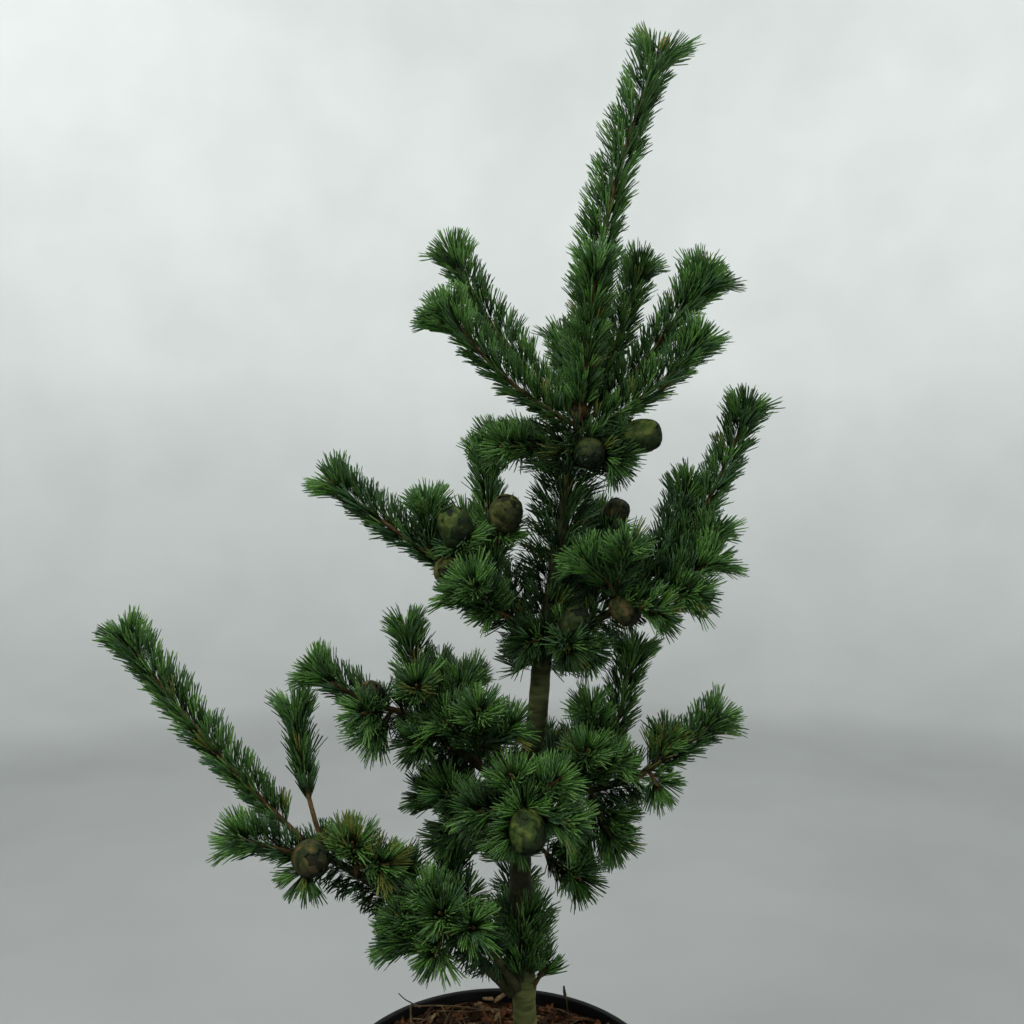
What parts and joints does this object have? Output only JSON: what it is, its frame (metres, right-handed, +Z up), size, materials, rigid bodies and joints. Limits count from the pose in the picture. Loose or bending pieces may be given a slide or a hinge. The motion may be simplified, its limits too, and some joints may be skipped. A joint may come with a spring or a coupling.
{
  "type": "potted japanese white pine",
  "caption": "Young potted pine with a gently bent upright trunk, whorled boughs, brush-like shoots of short needles, round green cones and a black tapered nursery pot filled with bark mulch.",
  "frame": {"origin": "centre of the pot's flat underside, at the mount named foot", "axes": "+Z straight up the tree; -Y is the side that the picture shows, and +X is its right"},
  "size_m": [0.5894, 0.3791, 1.2499],
  "materials": {
    "pot": "black moulded plastic, semi-matt",
    "mulch": "chipped red-brown bark, rough",
    "bark": "smooth olive-brown young bark with fine rings",
    "foliage": "dark green needles on red-brown shoots"
  },
  "bodies": {
    "root": {"pot": "pot", "mulch": "mulch", "trunk": "bark", "bough_low_left": "bark", "bough_low_front": "bark", "bough_low_back": "bark", "bough_mid_left": "bark", "bough_mid_front": "bark", "bough_mid_right": "bark", "bough_mid_back": "bark", "bough_high_left": "bark", "bough_high_right": "bark", "bough_high_back": "bark", "leader": "foliage", "top_front": "foliage", "top_back_right": "foliage", "top_right_high": "foliage", "top_right_low": "foliage", "top_back": "foliage", "top_left_high": "foliage", "top_left_low": "foliage", "top_low_left": "foliage", "top_low_front": "foliage", "high_left_long": "foliage", "high_left_vertical": "foliage", "high_left_front": "foliage", "high_right_long": "foliage", "high_right_upright": "foliage", "high_right_tufts": "foliage", "high_right_front": "foliage", "high_right_inner": "foliage", "high_front": "foliage", "high_back_left": "foliage", "high_back_right": "foliage", "mid_far_left": "foliage", "mid_left_shoot": "foliage", "mid_left_inner": "foliage", "mid_front_left": "foliage", "mid_low_left": "foliage", "mid_front": "foliage", "mid_right_far": "foliage", "mid_right_upright": "foliage", "mid_right_inner": "foliage", "mid_right_low": "foliage", "mid_low_front": "foliage", "mid_back_left": "foliage", "mid_back_right": "foliage", "low_far_left": "foliage", "low_left_upright": "foliage", "low_left_tuft": "foliage", "low_left_inner": "foliage", "low_left_upper": "foliage", "low_left_mid": "foliage", "low_front": "foliage", "low_front_left": "foliage", "low_right": "foliage", "low_back": "foliage", "trunk_needles_left": "foliage", "trunk_needles_right": "foliage", "trunk_needles_low": "foliage"}
  },
  "joints": []
}
